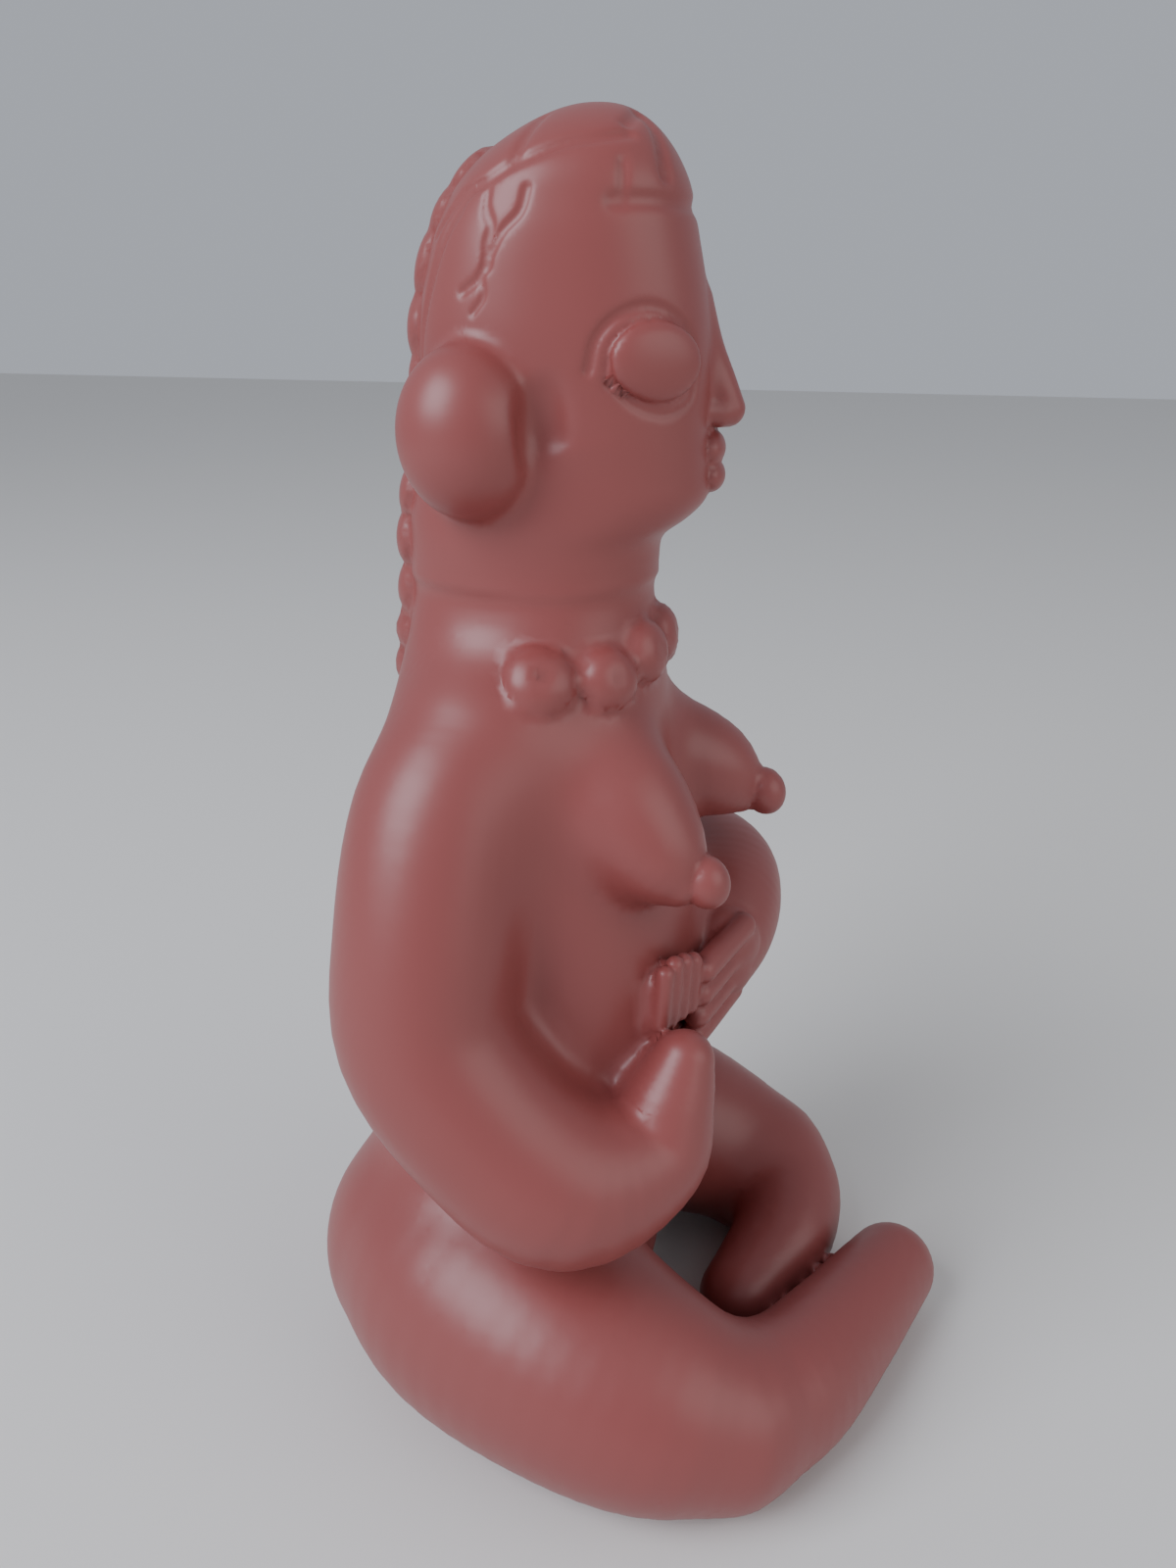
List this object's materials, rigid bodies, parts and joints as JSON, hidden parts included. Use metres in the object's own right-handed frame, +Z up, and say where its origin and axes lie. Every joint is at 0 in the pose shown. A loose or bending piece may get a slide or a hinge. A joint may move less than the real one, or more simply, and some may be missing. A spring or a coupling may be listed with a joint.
{
  "type": "seated female figurine",
  "caption": "Seated clay woman with crossed legs, hands on her belly, pellet necklace, ear bulbs and a plait down her back, burnished red with dark speckles.",
  "frame": {"origin": "on the ground, under the middle of the figure's bounding box", "axes": "+Z up along the figure's height, she faces -Y, her right side is towards -X"},
  "size_m": [0.1332, 0.138, 0.2649],
  "materials": {
    "clay": "satin"
  },
  "bodies": {
    "root": {"figurine": "clay"}
  },
  "joints": []
}
